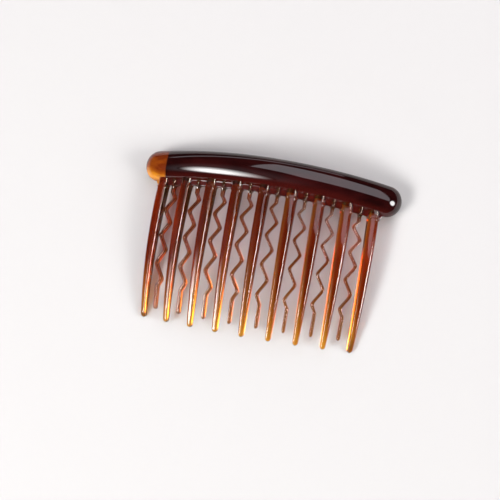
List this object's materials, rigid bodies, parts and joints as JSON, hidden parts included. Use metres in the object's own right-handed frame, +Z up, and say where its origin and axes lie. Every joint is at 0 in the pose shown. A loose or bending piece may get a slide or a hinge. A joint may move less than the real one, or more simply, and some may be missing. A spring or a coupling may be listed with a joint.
{
  "type": "hair side comb",
  "caption": "Bowed side comb for the hair: a thick rounded spine, long tapered straight teeth and a thin wavy tooth in each gap, in translucent tortoiseshell-brown plastic.",
  "frame": {"origin": "on the table under the middle of the comb's box, with the comb lying hollow side down", "axes": "+X along the spine, -Y along the teeth towards their tips, +Z up, out of the comb's convex front"},
  "size_m": [0.0856, 0.0578, 0.0165],
  "materials": {
    "spine_plastic": "glossy translucent tortoiseshell-brown plastic, nearly black-red where thick",
    "tooth_plastic": "the same plastic, red-brown with amber edges where thinner",
    "wavy_tooth_plastic": "the same plastic, amber-brown where thinnest"
  },
  "bodies": {
    "root": {"spine": "spine_plastic", "straight_tooth_1": "tooth_plastic", "straight_tooth_2": "tooth_plastic", "straight_tooth_3": "tooth_plastic", "straight_tooth_4": "tooth_plastic", "straight_tooth_5": "tooth_plastic", "straight_tooth_6": "tooth_plastic", "straight_tooth_7": "tooth_plastic", "straight_tooth_8": "tooth_plastic", "straight_tooth_9": "tooth_plastic", "wavy_tooth_1": "wavy_tooth_plastic", "wavy_tooth_2": "wavy_tooth_plastic", "wavy_tooth_3": "wavy_tooth_plastic", "wavy_tooth_4": "wavy_tooth_plastic", "wavy_tooth_5": "wavy_tooth_plastic", "wavy_tooth_6": "wavy_tooth_plastic", "wavy_tooth_7": "wavy_tooth_plastic", "wavy_tooth_8": "wavy_tooth_plastic"}
  },
  "joints": []
}
